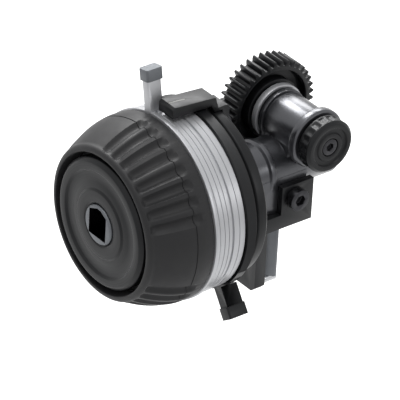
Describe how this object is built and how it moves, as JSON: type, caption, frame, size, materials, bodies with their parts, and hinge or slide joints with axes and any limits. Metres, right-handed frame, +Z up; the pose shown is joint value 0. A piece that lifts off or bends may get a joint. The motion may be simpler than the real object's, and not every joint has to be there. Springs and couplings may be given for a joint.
{
  "type": "follow focus unit",
  "caption": "Follow focus unit with a ribbed handwheel, marker ring, stop levers, screw-gear gearbox, toothed drive gear and dovetail rail mount.",
  "frame": {"origin": "centre of the dovetail rail's outer face, where its tapped hole opens", "axes": "+Z up, -Y towards the operator and out of the handwheel, -X towards the drive gear and the lens"},
  "size_m": [0.0606, 0.0901, 0.0834],
  "materials": {
    "black_anodised": "black anodised, fine satin",
    "clear_anodised": "clear anodised, turned, fine satin",
    "hard_anodised_grey": "hard anodised grey, satin",
    "rubber": "moulded, matt",
    "bright_steel": "ground and polished",
    "brass": "machined, oiled",
    "black_oxide_steel": "black oxide, slightly oily",
    "white_filler": "paint pressed into an engraved line",
    "acetal": "moulded brown acetal"
  },
  "bodies": {
    "housing": {"gearbox_body": "black_anodised", "front_flange": "black_anodised", "flange_screws": "black_oxide_steel", "rear_cover": "black_anodised", "rear_cover_screws": "black_oxide_steel", "side_bearing_cap": "black_anodised", "gear_side_ring": "clear_anodised", "pointer_arm": "black_anodised", "pointer_line": "white_filler", "pointer_screws": "black_oxide_steel", "wheel_bearing_front": "bright_steel", "wheel_bearing_rear": "bright_steel", "drive_bearing_gear_side": "bright_steel", "drive_bearing_knob_side": "bright_steel", "drag_washer": "acetal", "mount_bracket": "black_anodised", "cheek_screw": "black_oxide_steel", "foot_screws": "black_oxide_steel", "dovetail_rail": "hard_anodised_grey", "rail_screws": "black_oxide_steel", "rail_stop_pins": "bright_steel"},
    "handwheel": {"wheel_hub": "black_anodised", "grip_sleeve": "rubber", "front_cap": "black_anodised", "whip_socket": "hard_anodised_grey", "marker_ring": "clear_anodised", "drum_retainer": "black_anodised", "wheel_shaft": "bright_steel", "hub_pin": "bright_steel", "wheel_screw_gear": "brass", "wheel_shaft_clips": "black_oxide_steel"},
    "stop_a": {"stop_a_ring": "clear_anodised", "stop_a_pad": "clear_anodised"},
    "stop_b": {"stop_b_ring": "black_anodised", "stop_b_pad": "black_anodised"},
    "drive": {"drive_shaft": "bright_steel", "drive_screw_gear": "brass", "drive_gear": "black_anodised", "gear_clamp_plate": "clear_anodised", "drive_shaft_clips": "black_oxide_steel"},
    "gear_lock": {"lock_knob": "black_anodised", "lock_bolt": "black_oxide_steel"}
  },
  "joints": [
    {"name": "handwheel_turn", "type": "hinge", "parent": "housing", "child": "handwheel", "pos_m": [0, -0.05, 0.0272], "axis": [0, -1, 0], "range_deg": [0, 134]},
    {"name": "stop_a_turn", "type": "hinge", "parent": "handwheel", "child": "stop_a", "pos_m": [0, -0.0421, 0.0272], "axis": [0, -1, 0], "range_deg": [0, 150]},
    {"name": "stop_b_turn", "type": "hinge", "parent": "handwheel", "child": "stop_b", "pos_m": [0, -0.0293, 0.0272], "axis": [0, -1, 0], "range_deg": [-120, 120]},
    {"name": "drive_turn", "type": "hinge", "parent": "housing", "child": "drive", "pos_m": [0, 0.0096, 0.0392], "axis": [1, 0, 0], "range_deg": [0, 134]},
    {"name": "gear_lock_turn", "type": "hinge", "parent": "drive", "child": "gear_lock", "pos_m": [0.015, 0.0096, 0.0392], "axis": [1, 0, 0], "range_deg": [0, 90]}
  ],
  "couplings": [
    {"joint": "drive_turn", "follows": "handwheel_turn", "ratio": 1}
  ]
}
